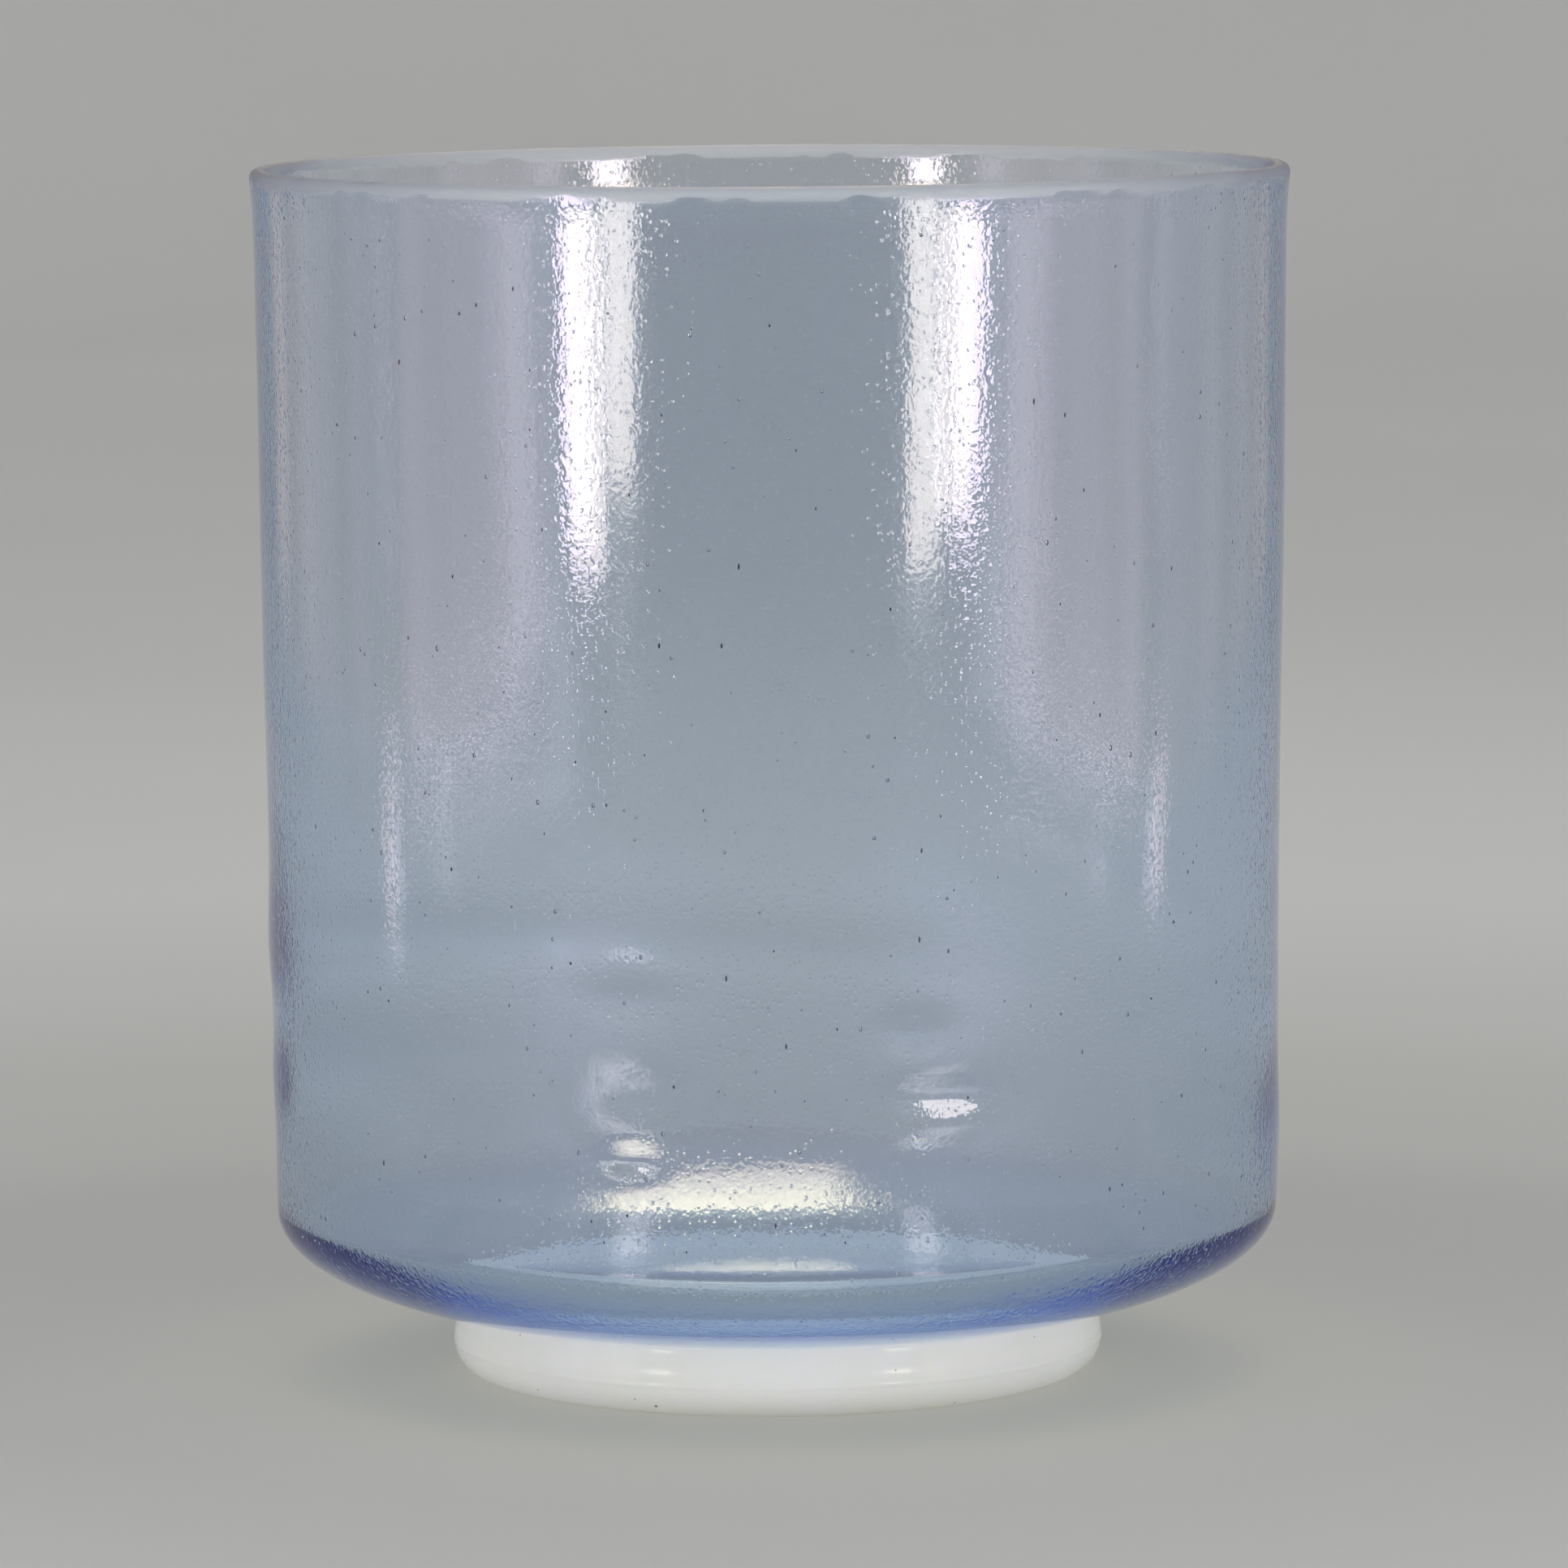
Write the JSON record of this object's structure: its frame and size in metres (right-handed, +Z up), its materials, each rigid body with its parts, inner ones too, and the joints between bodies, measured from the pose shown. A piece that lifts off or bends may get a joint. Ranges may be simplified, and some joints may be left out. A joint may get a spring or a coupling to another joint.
{
  "type": "singing bowl",
  "caption": "Tall clear quartz singing bowl with a rounded ground rim, standing on a removable silicone ring.",
  "frame": {"origin": "middle of the base ring's resting face, at the bottom of the bounding box", "axes": "+Z up along the bowl's axis, +X to the right as seen from the front, which faces -Y; the shape is the same all the way round"},
  "size_m": [0.2032, 0.2032, 0.2375],
  "materials": {
    "quartz": "clear, smooth, faint blue-grey, with a finely ground rim",
    "silicone": "matt, slightly milky"
  },
  "bodies": {
    "base_ring": {"base_ring": "silicone"},
    "bowl": {"bowl": "quartz"}
  },
  "joints": [
    {"name": "bowl_lift", "type": "slide", "parent": "base_ring", "child": "bowl", "axis": [0, 0, 1], "range_m": [0, 0.06]}
  ]
}
